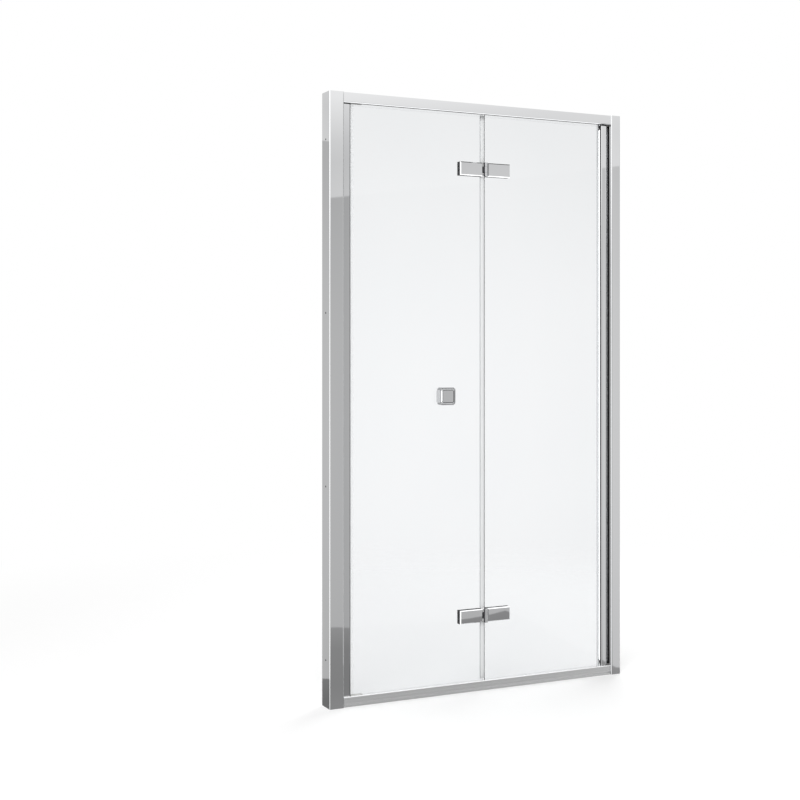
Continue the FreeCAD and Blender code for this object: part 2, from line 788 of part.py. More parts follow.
inner_block = face_solid(knob_x, knob_height, inner_knob_size, inner_knob_corner, inner_seat, inner_face)
inner_block = bevelled(inner_block, inner_knob_bevel, inner_face)
inner_bore = knob_rod(bolt_bore, inner_seat - past, inner_seat + knob_bolt_bite + seat_gap)
pieces["inner_knob"] = inner_block.cut(inner_bore)
pieces["knob_bolt"] = knob_rod(knob_bolt_radius, outer_seat - knob_bolt_bite, inner_seat + knob_bolt_bite)

washer_cut = knob_rod(bolt_bore, outer_seat - past, inner_seat + past)
front_washer = face_solid(knob_x, knob_height, knob_washer_size, inner_knob_corner, outer_seat, -glass_half)
back_washer = face_solid(knob_x, knob_height, knob_washer_size, inner_knob_corner, glass_half, inner_seat)
knob_sleeve = knob_rod(sleeve_radius, -glass_half - knob_washer_thickness / 2, glass_half)
front_washer = joined([front_washer, knob_sleeve])
pieces["knob_washers"] = group([front_washer.cut(washer_cut), back_washer.cut(washer_cut)])

os.makedirs("parts", exist_ok=True)
for name, shape in pieces.items():
    shape.exportStep(f"parts/{name}.step")
print(len(pieces), "pieces,", sum(len(shape.Solids) for shape in pieces.values()), "solids")
print("fold axis", fold_x, fold_y, "pivot", pivot_x, "guide", guide_x)
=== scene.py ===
import bmesh
import bpy
import math
import random
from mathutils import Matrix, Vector


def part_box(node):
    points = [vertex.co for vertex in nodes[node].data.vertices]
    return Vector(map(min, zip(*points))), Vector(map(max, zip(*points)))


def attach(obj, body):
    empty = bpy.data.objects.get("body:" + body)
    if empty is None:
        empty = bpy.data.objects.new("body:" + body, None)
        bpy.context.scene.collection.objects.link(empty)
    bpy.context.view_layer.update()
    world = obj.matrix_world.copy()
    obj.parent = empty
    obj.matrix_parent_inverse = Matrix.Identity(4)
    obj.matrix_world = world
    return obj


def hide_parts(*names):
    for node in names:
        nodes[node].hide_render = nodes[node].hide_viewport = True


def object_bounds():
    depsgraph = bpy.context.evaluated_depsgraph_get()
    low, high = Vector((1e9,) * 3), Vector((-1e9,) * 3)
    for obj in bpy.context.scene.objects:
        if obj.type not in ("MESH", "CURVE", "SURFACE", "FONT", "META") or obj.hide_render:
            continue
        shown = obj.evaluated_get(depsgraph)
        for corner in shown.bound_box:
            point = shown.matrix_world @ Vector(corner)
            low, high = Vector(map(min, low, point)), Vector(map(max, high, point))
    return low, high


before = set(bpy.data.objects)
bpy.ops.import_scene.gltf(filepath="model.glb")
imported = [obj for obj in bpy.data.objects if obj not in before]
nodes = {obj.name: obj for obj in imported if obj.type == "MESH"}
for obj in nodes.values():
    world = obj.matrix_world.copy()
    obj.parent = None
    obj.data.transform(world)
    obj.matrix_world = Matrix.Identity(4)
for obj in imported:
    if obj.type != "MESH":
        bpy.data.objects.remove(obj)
cad_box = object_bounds()
mm = 0.001


# Wall channels: two C-shaped extrusions of bright polished, anodised aluminium, one screwed to each wall
# of the niche. The die leaves faint lines along the metal, and the narrow one has painted shade on the
# rounded inner edge that faces the door.
def shade(tree, kind, inputs, **settings):
    """Adds a shader node. An input is a plain value or another node's socket."""
    made = tree.nodes.new("ShaderNode" + kind)
    for name, value in settings.items():
        setattr(made, name, value)
    for name, value in inputs.items():
        if isinstance(value, bpy.types.NodeSocket):
            tree.links.new(value, made.inputs[name])
        else:
            made.inputs[name].default_value = value
    return made


def grain(tree, per_metre, detail):
    """Noise with so many features per metre along X, Y and Z."""
    place = shade(tree, "TexCoord", {})
    spread = shade(tree, "Mapping", {"Vector": place.outputs["Object"], "Scale": per_metre})
    noise = shade(tree, "TexNoise", {"Vector": spread.outputs["Vector"], "Scale": 1.0, "Detail": detail})
    return noise.outputs["Fac"]


def between(tree, noise, ends):
    """Spreads a noise, most of which lies from 0.3 to 0.7, over two ends."""
    spread = {"Value": noise, "From Min": 0.3, "From Max": 0.7, "To Min": ends[0], "To Max": ends[1]}
    return shade(tree, "MapRange", spread).outputs["Result"]


def tinted(tree, share, shades):
    """Colour between two shades."""
    ends = {"Fac": share, "Color1": (*shades[0], 1), "Color2": (*shades[1], 1)}
    return shade(tree, "MixRGB", ends).outputs["Color"]


def surface_finish(name, shades, gloss, fine, broad, relief, **fixed):
    """Material whose fine grain drives its gloss and relief, and whose broad grain drives its shade."""
    material = bpy.data.materials.new(name)
    material.use_nodes = True
    tree = material.node_tree
    skin = tree.nodes["Principled BSDF"]
    fine_grain = grain(tree, fine, 4.0)
    broad_grain = between(tree, grain(tree, broad, 2.0), (0.0, 1.0))
    bump = shade(tree, "Bump", {"Height": fine_grain, "Distance": relief, "Strength": 1.0})
    tree.links.new(tinted(tree, broad_grain, shades), skin.inputs["Base Color"])
    tree.links.new(between(tree, fine_grain, gloss), skin.inputs["Roughness"])
    tree.links.new(bump.outputs["Normal"], skin.inputs["Normal"])
    for socket, value in fixed.items():
        skin.inputs[socket].default_value = value
    return material


def painted_shade_zone(material, source, axis, ends, darkest):
    """Paints shade into a finish's colour where its place or its facing, along one axis, lies between two
    ends.
    """
    tree = material.node_tree
    skin = tree.nodes["Principled BSDF"]
    geometry = shade(tree, "NewGeometry", {})
    measure = shade(tree, "SeparateXYZ", {"Vector": geometry.outputs[source]}).outputs[axis]
    above = shade(tree, "Math", {0: measure, 1: ends[0]}, operation="GREATER_THAN")
    below = shade(tree, "Math", {0: measure, 1: ends[1]}, operation="LESS_THAN")
    inside = shade(tree, "Math", {0: above.outputs[0], 1: below.outputs[0]}, operation="MULTIPLY")
    colour = skin.inputs["Base Color"].links[0].from_socket
    dimming = {"Fac": 1.0, "Color1": colour, "Color2": (darkest, darkest, darkest, 1)}
    painted_shade = shade(tree, "MixRGB", dimming, blend_type="MULTIPLY")
    both = {"Fac": inside.outputs[0], "Color1": colour, "Color2": painted_shade.outputs["Color"]}
    tree.links.new(shade(tree, "MixRGB", both).outputs["Color"], skin.inputs["Base Color"])


def dress(material, *names):
    """Gives CAD nodes their material."""
    for name in names:
        nodes[name].material_slots[0].material = material


aluminium_shades = ((0.785, 0.79, 0.80), (0.81, 0.815, 0.82))
aluminium_gloss = (0.008, 0.02)
die_line_relief = 0.0008 * mm
upright_grain = ((900, 900, 2.5), (9, 9, 1.2), die_line_relief)


def upright_metal(name, shades):
    return surface_finish(name, shades, aluminium_gloss, *upright_grain, Metallic=1.0)


upright_aluminium = upright_metal("upright_aluminium", aluminium_shades)
dress(upright_aluminium, "closing_wall_channel")
channel_painted_shade_aluminium = upright_metal("channel_painted_shade_aluminium", aluminium_shades)
# Painted shade: the narrow channel's faces near its edge that look towards the door are darkened.
painted_shade_edge_facing = (-0.985, -0.8)
painted_shade_zone(channel_painted_shade_aluminium, "Normal", "X", painted_shade_edge_facing, 0.12)
dress(channel_painted_shade_aluminium, "pivot_wall_channel")

# Jambs: plainer extrusions of the same metal that slide in the channels to take up an uneven wall.
# Screws from the shower side lock them at the right place.
jamb_shades = ((0.69, 0.695, 0.705), (0.715, 0.72, 0.73))
jamb_aluminium = upright_metal("jamb_aluminium", jamb_shades)
dress(jamb_aluminium, "closing_jamb", "pivot_jamb")

# Rails: aluminium extrusions with a fascia towards the room and a slotted track for the guide rollers,
# cut square and plugged over the corner blocks. The top one has painted shade on its downward faces. The
# bottom one is satin, with a step that sheds water, and the step is painted darker as shade.
level_grain = ((2.5, 900, 900), (1.2, 9, 9), die_line_relief)
rail_aluminium = surface_finish(
    "rail_aluminium", aluminium_shades, aluminium_gloss, *level_grain, Metallic=1.0
)
# Painted shade: the top rail's faces that look downwards are darkened.
painted_underside_shade_facing = (-1.1, -0.62)
painted_shade_zone(rail_aluminium, "Normal", "Z", painted_underside_shade_facing, 0.04)
dress(rail_aluminium, "top_rail")
sill_shades = ((0.92, 0.925, 0.93), (0.95, 0.955, 0.96))
satin_gloss = (0.16, 0.24)
sill_aluminium = surface_finish("sill_aluminium", sill_shades, satin_gloss, *level_grain, Metallic=1.0)
# Painted shade: the step's faces between these heights are darkened.
step_painted_shade_heights = (6.6 * mm, 9.4 * mm)
painted_shade_zone(sill_aluminium, "Position", "Z", step_painted_shade_heights, 0.47)
dress(sill_aluminium, "bottom_rail")

# Corner blocks: nylon mouldings that join each rail to a jamb, with a fine eroded grain from the tool.
# They are pushed into the rails' hollows and screwed from the shower side.
weld_gap = 0.002 * mm


def dress_eased(material, width, *names):
    """Gives CAD nodes their material and breaks their sharp edges."""
    dress(material, *names)
    for name in names:
        modifiers = nodes[name].modifiers
        join = modifiers.new("join", "WELD")
        join.merge_threshold = weld_gap
        edge = modifiers.new("edges", "BEVEL")
        edge.width = width
        edge.segments = 2
        edge.limit_method = "ANGLE"
        edge.angle_limit = math.radians(40)
        shading = modifiers.new("shading", "WEIGHTED_NORMAL")
        shading.keep_sharp = True


nylon_shades = ((0.78, 0.78, 0.755), (0.84, 0.84, 0.82))
moulded_nylon = surface_finish(
    "moulded_nylon", nylon_shades, (0.38, 0.56), (2600, 2600, 2600), (60, 60, 60), 0.009 * mm
)
moulded_edge = 0.4 * mm
corners = [f"corner_block_{end}_{side}" for end in ("top", "bottom") for side in ("left", "right")]
dress_eased(moulded_nylon, moulded_edge, *corners)


# Corner screws: stainless pan-head screws with a cross recess, two in each left corner block and one in
# each right one, driven from the shower side through the rail's low wall.
def solid_boxes(name):
    """Lowest and highest corner of each separate solid of a CAD node."""
    mesh = bmesh.new()
    mesh.from_mesh(nodes[name].data)
    bmesh.ops.remove_doubles(mesh, verts=mesh.verts, dist=weld_gap)
    boxes = []
    waiting = set(mesh.verts)
    while waiting:
        island = [waiting.pop()]
        for vert in island:
            for edge in vert.link_edges:
                neighbour = edge.other_vert(vert)
                if neighbour in waiting:
                    waiting.remove(neighbour)
                    island.append(neighbour)
        low = Vector([min(vert.co[i] for vert in island) for i in range(3)])
        high = Vector([max(vert.co[i] for vert in island) for i in range(3)])
        boxes.append((low, high))
    mesh.free()
    return sorted(boxes, key=lambda ends: tuple(ends[0]))


def bridge(mesh, first, second):
    """Joins two loops of as many points with a band of faces."""
    corners = zip(first, first[1:] + first[:1], second[1:] + second[:1], second)
    return [mesh.faces.new(face) for face in corners]


round_points = 48
turns = [2 * math.pi * i / round_points for i in range(round_points)]


def turned(mesh, base, axis, rings):
    """Adds a closed form. Each ring is a distance on the axis and a radius, a rule for it, or points."""
    axis = Vector(axis)
    across = Vector((1, 0, 0))
    third = axis.cross(across)
    loops = []
    for distance, outline in rings:
        if isinstance(outline, list):
            ring = outline
        else:
            radii = [outline(turn) if callable(outline) else outline for turn in turns]
            ring = [(r * math.cos(turn), r * math.sin(turn)) for r, turn in zip(radii, turns)]
        loops.append([mesh.verts.new(base + axis * distance + across * u + third * v) for u, v in ring])
    mesh.faces.new(list(reversed(loops[0])))
    mesh.faces.new(loops[-1])
    for near, far in zip(loops, loops[1:]):
        bridge(mesh, near, far)


def cross_recess(reach, half_width):
    def radius(turn):
        off = abs((turn + math.pi / 4) % (math.pi / 2) - math.pi / 4)
        return min(reach / math.cos(off), half_width / max(math.sin(off), 1e-6))
    return radius


def fit_piece(name, mesh, materials, body, slot, *replaced, sharp=32, flat_over=1.0):
    """Turns a mesh into a piece that rides on a body and stands for CAD nodes.

    Faces of more than flat_over square metres are shaded flat, and so are edges of over sharp degrees.
    """
    bmesh.ops.recalc_face_normals(mesh, faces=mesh.faces)
    data = bpy.data.meshes.new(name)
    mesh.to_mesh(data)
    mesh.free()
    for material in materials:
        data.materials.append(material)
    data.polygons.foreach_set("use_smooth", [face.area < flat_over for face in data.polygons])
    data.set_sharp_from_angle(angle=math.radians(sharp))
    piece = bpy.data.objects.new(name, data)
    bpy.context.scene.collection.objects.link(piece)
    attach(piece, body)
    if replaced:
        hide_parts(*replaced)
    return piece


stainless_shades = ((0.52, 0.52, 0.525), (0.60, 0.60, 0.605))
stainless = surface_finish(
    "stainless", stainless_shades, (0.16, 0.30), (1800, 1800, 1800), (70, 70, 70), 0.0012 * mm,
    Metallic=1.0,
)
pan_height = 2.0 * mm
pan_shank = 2.0 * mm
pan_dome = ((0.35, 1.0), (0.62, 0.95), (0.84, 0.82), (0.96, 0.66), (1.0, 0.56))


def pan_screws(name, node):
    """Screws with domed heads towards the shower, in place of a CAD node's."""
    screws = bmesh.new()
    for low, high in solid_boxes(node):
        middle = (low + high) / 2
        head = (high.x - low.x) / 2
        seat_y = high.y - pan_height
        length = seat_y - low.y
        rings = [(-length, 0.25 * pan_shank), (-length + 1.2 * pan_shank, pan_shank), (0, pan_shank)]
        rings.append((0, head))
        rings += [(lift * pan_height, share * head) for lift, share in pan_dome]
        rings.append((pan_height, cross_recess(0.5 * head, 0.11 * head)))
        rings.append((0.35 * pan_height, cross_recess(0.34 * head, 0.08 * head)))
        rings.append((0.15 * pan_height, 0.06 * head))
        turned(screws, Vector((middle.x, seat_y, middle.z)), (0, 1, 0), rings)
    fit_piece(name, screws, [stainless], "frame", "steel", node)


pan_screws("corner_pan_screws", "corner_screws")

# Packers and lock screws: nylon blocks between jamb and channel at three heights, and the stainless
# pan-head screws that go through them from the shower side.
dress_eased(moulded_nylon, moulded_edge, "closing_spacers", "pivot_spacers")
pan_screws("jamb_pan_screws", "jamb_lock_screws")

# Magnet strip: a bar of bonded ferrite in a white vinyl sleeve, pressed into the closing jamb's groove.
# The sleeve keeps water off the magnet, and its face meets the seal on the closing edge.
sleeve_shades = ((0.84, 0.845, 0.85), (0.89, 0.895, 0.90))
magnet_sleeve = surface_finish(
    "magnet_sleeve", sleeve_shades, (0.34, 0.48), (1200, 1200, 14), (30, 30, 3), 0.002 * mm
)
dress_eased(magnet_sleeve, moulded_edge, "closing_magnet_strip")


# Corner covers: short aluminium fillers pressed into the notches where the rails enter the wall channels,
# front and back, so that the channels' edges run through to the ends.
def drawn(mesh, outline, place, start, stop):
    """Adds a strip of one closed section. place turns a section's point and a station into a point."""
    ends = [[mesh.verts.new(place(u, v, station)) for u, v in outline] for station in (start, stop)]
    bridge(mesh, *ends)
    mesh.faces.new(list(reversed(ends[0])))
    mesh.faces.new(ends[1])


def upright_place(u, v, station):
    return Vector((u, v, station))


notches = ((-505.0 * mm, -500.1 * mm), (512.1 * mm, 517.0 * mm))
cover_depths = (26.1 * mm, 30.4 * mm)
sill_step_top = 9.2 * mm
sill_top = 32.0 * mm
rail_underside = 1918.0 * mm
covers = bmesh.new()
for left, right in notches:
    for side in (-1, 1):
        near, far = sorted(side * depth for depth in cover_depths)
        block = [(left, near), (right, near), (right, far), (left, far)]
        drawn(covers, block, upright_place, sill_step_top if side < 0 else 0.0, sill_top)
        drawn(covers, block, upright_place, rail_underside, cad_box[1].z)
fit_piece("corner_covers", covers, [upright_aluminium], "frame", "polished_aluminium")


# Closing lip: a slim strip of aluminium, clipped along the closing jamb's front edge. Its darker colour is
# painted shade at that edge. It covers the gap beside the closing seal.
def rounded(corners, steps=4):
    """Points round a section of (u, v, radius) corners."""
    points = []
    for i, (u, v, radius) in enumerate(corners):
        here = Vector((u, v))
        if not radius:
            points.append(here)
            continue
        before = (Vector(corners[i - 1][:2]) - here).normalized()
        after = (Vector(corners[(i + 1) % len(corners)][:2]) - here).normalized()
        half = before.angle(after) / 2
        tangent = radius / math.tan(half)
        centre = here + (before + after).normalized() * (radius / math.sin(half))
        start = here + before * tangent - centre
        turn = start.angle_signed(here + after * tangent - centre)
        for step in range(steps + 1):
            share = -turn * step / steps
            cosine, sine = math.cos(share), math.sin(share)
            turned_start = (start.x * cosine - start.y * sine, start.x * sine + start.y * cosine)
            points.append(centre + Vector(turned_start))
    return points


def fit_strip(name, outline, place, ends, material, body, slot, *replaced):
    """Draws one section from end to end and fits it as a piece."""
    strip = bmesh.new()
    drawn(strip, outline, place, *ends)
    fit_piece(name, strip, [material], body, slot, *replaced)


# Painted shade: a darker copy of the aluminium, for the closing lip at the jamb's edge and for the rail
# bead.
shade_dark_tones = ((0.50, 0.505, 0.515), (0.54, 0.545, 0.555))
shade_dark_aluminium = upright_metal("shade_dark_aluminium", shade_dark_tones)
jamb_low, jamb_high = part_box("closing_jamb")
lip_right = jamb_high.x + 1.5 * mm
lip_back = jamb_low.y + 2.5 * mm
lip_round = 0.4 * mm
lip = [(jamb_high.x, jamb_low.y, 0), (lip_right, jamb_low.y, lip_round), (lip_right, lip_back, lip_round),
       (jamb_high.x, lip_back, 0)]
fit_strip("closing_lip", rounded(lip), upright_place, (jamb_low.z, jamb_high.z), shade_dark_aluminium, "frame",
          "polished_aluminium")


# Rail bead: a slim strip of the darker aluminium, glued to the rounded edge of the top rail's fascia from
# channel to channel. It has a sloping face, and under it a short black rubber lip that stands for the shade
# under the rail and hides the track.
def level_place(u, v, station):
    return Vector((station, v, u))


rubber_shades = ((0.022, 0.022, 0.023), (0.04, 0.04, 0.041))
black_rubber = surface_finish(
    "black_rubber", rubber_shades, (0.5, 0.68), (1500, 1500, 40), (25, 25, 6), 0.004 * mm
)
left_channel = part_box("closing_wall_channel")[1].x
right_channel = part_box("pivot_wall_channel")[0].x
rail_ends = (left_channel + 0.1 * mm, right_channel - 0.1 * mm)
rail_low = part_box("top_rail")[0]
slope_top = (rail_low.z + 1.9 * mm, rail_low.y - 0.45 * mm)
slope_foot = (rail_low.z - 0.5 * mm, rail_low.y + 2.2 * mm)
bead = [slope_top, slope_foot, (slope_top[0], slope_foot[1])]
fit_strip("rail_bead", bead, level_place, rail_ends, shade_dark_aluminium, "frame", "polished_aluminium")
# Painted shade: the black lip stands for the shadow under the rail's fascia.
lip_half = 0.4 * mm
lip_foot = slope_foot[0] - 1.7 * mm
lip_front, lip_back = slope_foot[1] - lip_half, slope_foot[1] + lip_half
lip = [(slope_foot[0], lip_front), (lip_foot, lip_front), (lip_foot, lip_back), (slope_foot[0], lip_back)]
fit_strip("rail_bead_shadow_lip", lip, level_place, rail_ends, black_rubber, "frame", "black_rubber")

# Brush seal: black polypropylene pile woven into a backing that is glued to the pivot jamb. The hairs
# stand on both sides of a thin film, reach the round back of the stile and keep splashes in.
brush_shades = ((0.03, 0.03, 0.031), (0.055, 0.055, 0.057))
brush_black = surface_finish(
    "brush_black", brush_shades, (0.55, 0.75), (900, 900, 900), (200, 200, 200), 0.002 * mm
)
low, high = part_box("stile_brush_seal")
backing_front = high.x - 4.0 * mm
backing_round = 0.6 * mm
backing = [(backing_front, low.y, backing_round), (high.x, low.y, 0), (high.x, high.y, 0),
           (backing_front, high.y, backing_round)]
film_tip = low.x + 0.6 * mm
film_half = 0.8 * mm
film = [(film_tip, -film_half), (backing_front, -film_half), (backing_front, film_half),
        (film_tip, film_half)]
brush = bmesh.new()
drawn(brush, rounded(backing), upright_place, low.z, high.z)
drawn(brush, film, upright_place, low.z, high.z)
pile = random.Random(7)
tuft_pitch = 2.2 * mm
hairs_in_tuft = 6
hair_root = backing_front + 0.5 * mm
hair_radius = 0.16 * mm
hair_sides = [2 * math.pi * i / 3 for i in range(3)]
hair_section = [Vector((0, math.cos(turn), math.sin(turn))) for turn in hair_sides]
for tuft in range(int((high.z - low.z) / tuft_pitch)):
    for hair in range(hairs_in_tuft):
        root = Vector((hair_root, pile.uniform(-1.1, 1.1) * mm, 0))
        root.z = low.z + (tuft + 0.5 + pile.uniform(-0.3, 0.3)) * tuft_pitch
        tip = Vector((low.x + pile.uniform(0, 0.7) * mm, root.y + pile.uniform(-0.35, 0.35) * mm, 0))
        tip.z = min(max(root.z + pile.uniform(-0.9, 0.9) * mm, low.z), high.z)
        foot = [brush.verts.new(root + reach * hair_radius) for reach in hair_section]
        point = [brush.verts.new(tip + reach * (0.5 * hair_radius)) for reach in hair_section]
        bridge(brush, foot, point)
        brush.faces.new(point)
        brush.faces.new(list(reversed(foot)))
fit_piece("stile_brush_pile", brush, [brush_black], "frame", "brush", "stile_brush_seal")

# Pivot bearings: nylon blocks in the ends of the tracks, each held by a countersunk stainless screw
# through the rail, and the nylon thrust washer that carries the panels' weight.
dress_eased(moulded_nylon, moulded_edge, "top_pivot_block", "bottom_pivot_block", "pivot_thrust_washer")
sunk_depth = 2.0 * mm
sunk_rim = 0.25 * mm
middle_z = (cad_box[0].z + cad_box[1].z) / 2
screws = bmesh.new()
for low, high in solid_boxes("pivot_block_screws"):
    centre = (low + high) / 2
    head = (high.x - low.x) / 2
    shank = 0.5 * head
    length = high.z - low.z
    upward = 1 if centre.z > middle_z else -1
    face = Vector((centre.x, centre.y, high.z if upward > 0 else low.z))
    turned(screws, face, (0, 0, upward), [
        (-length, 0.3 * shank), (-length + 1.2 * shank, shank), (-sunk_depth, shank),
        (-sunk_rim, 0.96 * head), (0, 0.92 * head), (0, cross_recess(0.5 * head, 0.11 * head)),
        (-0.7 * sunk_depth, cross_recess(0.3 * head, 0.08 * head)), (-0.8 * sunk_depth, 0.05 * head),
    ])
fit_piece("bearing_sunk_screws", screws, [stainless], "frame", "steel", "pivot_block_screws")

# Pivot stile: an aluminium extrusion with a round back that turns about the pivot, and the turned
# stainless pins pressed into its ends.
pin_edge = 0.25 * mm
dress(upright_aluminium, "pivot_stile")
dress_eased(stainless, pin_edge, "top_pivot_pin", "bottom_pivot_pin")

# Stile gasket: a U round the glass in the stile's slot, in two extruded halves of white vinyl. Outside it
# are a slim polished glazing bead on the stile's side and a black rubber one on its rounded edge.
low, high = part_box("stile_gasket")
glass_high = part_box("pivot_glass")[1]
stile_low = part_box("pivot_stile")[0]
play = 0.05 * mm
glass_face = glass_high.y + play
slot_end = high.x - play
wedge_tip = stile_low.x - 1.0 * mm
wedge_front = low.y + play
wedge = [(wedge_tip, -glass_face, 0.2 * mm), (slot_end, -glass_face, 0), (slot_end, wedge_front, 0.3 * mm),
         (wedge_tip, wedge_front, 0.3 * mm)]
bed_web = glass_high.x + play
bed_front = -glass_face + play
bed = [(wedge_tip, glass_face, 0.2 * mm), (wedge_tip, high.y, 0.55 * mm),
       (slot_end, high.y - play, 0.3 * mm), (slot_end, bed_front, 0), (bed_web, bed_front, 0),
       (bed_web, glass_face, 0)]
gasket = bmesh.new()
for half in (wedge, bed):
    drawn(gasket, rounded(half), upright_place, low.z, high.z)
fit_piece("stile_vinyl_gasket", gasket, [magnet_sleeve], "pivot_panel", "clear_seal", "stile_gasket")
bead_ends = (34.0 * mm, 1916.0 * mm)
stile_round = 6.0 * mm
rubber_wall = 0.8 * mm
round_middle = Vector((stile_low.x + stile_round, stile_low.y + stile_round))
curl = [math.radians(degrees) for degrees in (188, 198, 208, 218, 228)]
bead = []
for reach, angles in ((stile_round + rubber_wall, curl), (stile_round + play, reversed(curl))):
    bead += [round_middle + Vector((math.cos(angle), math.sin(angle))) * reach for angle in angles]
fit_strip("stile_rubber_bead", bead, upright_place, bead_ends, black_rubber, "pivot_panel", "black_rubber")
bead_seat = stile_low.x - play
bead_tip = bead_seat - 2.1 * mm
bead_back = stile_low.y + 9.4 * mm
bead = [(bead_tip, bead_back), (bead_seat, bead_back), (bead_seat, bead_back - 3.3 * mm)]
fit_strip("stile_glazing_bead", bead, upright_place, bead_ends, upright_aluminium, "pivot_panel",
          "polished_aluminium")

# Glass panels: 6 mm clear toughened glass with ground and polished edges, drilled for the hinges and the
# knob. The edges look a little deeper in colour because light runs along the sheet.
glass_shades = ((0.925, 0.938, 0.95), (0.94, 0.95, 0.96))
toughened_glass = bpy.data.materials.new("toughened_glass")
toughened_glass.use_nodes = True
tree = toughened_glass.node_tree
skin = tree.nodes["Principled BSDF"]
skin.inputs["Transmission Weight"].default_value = 1.0
skin.inputs["Roughness"].default_value = 0.0
skin.inputs["IOR"].default_value = 1.5
cast = between(tree, grain(tree, (3, 3, 2), 3.0), (0.0, 1.0))
tree.links.new(tinted(tree, cast, glass_shades), skin.inputs["Base Color"])
path = shade(tree, "LightPath", {})
lets_light = shade(tree, "BsdfTransparent", {"Color": (0.94, 0.95, 0.95, 1)})
ways = {0: path.outputs["Is Shadow Ray"], 1: skin.outputs[0], 2: lets_light.outputs[0]}
both_ways = shade(tree, "MixShader", ways)
tree.links.new(both_ways.outputs[0], tree.nodes["Material Output"].inputs["Surface"])
hole_edge = 0.3 * mm


def pierced_sheet(mesh, low, high, holes, front_edge, back_edge, side_index=0):
    """Adds a sheet across Y with bevelled edges and round holes, each a middle and a radius."""
    def rectangle(inset):
        left, right, bottom, top = low.x + inset, high.x - inset, low.z + inset, high.z - inset
        return [(left, bottom), (right, bottom), (right, top), (left, top)]

    def circle(middle, radius):
        def ring(inset):
            reach = radius + inset
            return [(middle.x + reach * math.cos(a), middle.z + reach * math.sin(a)) for a in turns]
        return ring

    outlines = [(rectangle, front_edge, back_edge, side_index)]
    outlines += [(circle(*hole), hole_edge, hole_edge, 0) for hole in holes]
    rims = ([], [])
    for outline, near, far, index in outlines:
        stations = ((low.y, near), (low.y + near, 0), (high.y - far, 0), (high.y, far))
        loops = [[mesh.verts.new((x, y, z)) for x, z in outline(inset)] for y, inset in stations]
        for band, (first, second) in enumerate(zip(loops, loops[1:])):
            for face in bridge(mesh, first, second):
                face.material_index = index if band == 1 else 0
        for rim, loop in zip(rims, (loops[0], loops[-1])):
            rim += [mesh.edges.get((loop[i - 1], loop[i])) for i in range(len(loop))]
    for rim in rims:
        bmesh.ops.triangle_fill(mesh, use_beauty=True, edges=rim)


panels = ("fold", "pivot")
drill_radius = 6.0 * mm
polished_edge = 0.7 * mm
for panel in panels:
    low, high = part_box(f"{panel}_glass")
    drilled = solid_boxes(f"{panel}_hinge_screws")
    if panel == "fold":
        drilled += solid_boxes("knob_bolt")
    holes = [((start + stop) / 2, drill_radius) for start, stop in drilled]
    sheet = bmesh.new()
    pierced_sheet(sheet, low, high, holes, polished_edge, polished_edge)
    fit_piece(f"{panel}_sheet", sheet, [toughened_glass], f"{panel}_panel", "glass", f"{panel}_glass",
              flat_over=0)

# Fold hinges: two chromed brass leaves a hinge, with knuckles about one stainless pin, clamped on the
# glass by back plates over black rubber pads. Bevels are polished. The sides of the back plates, of the fold
# leaves and of the arms, and the left part of each barrel, take a dark chrome that is painted shade.
chrome_shades = ((0.69, 0.695, 0.705), (0.71, 0.715, 0.725))
mirror_chrome = surface_finish(
    "mirror_chrome", chrome_shades, (0.006, 0.016), (160, 160, 160), (12, 12, 12), 0.0002 * mm,
    Metallic=1.0,
)
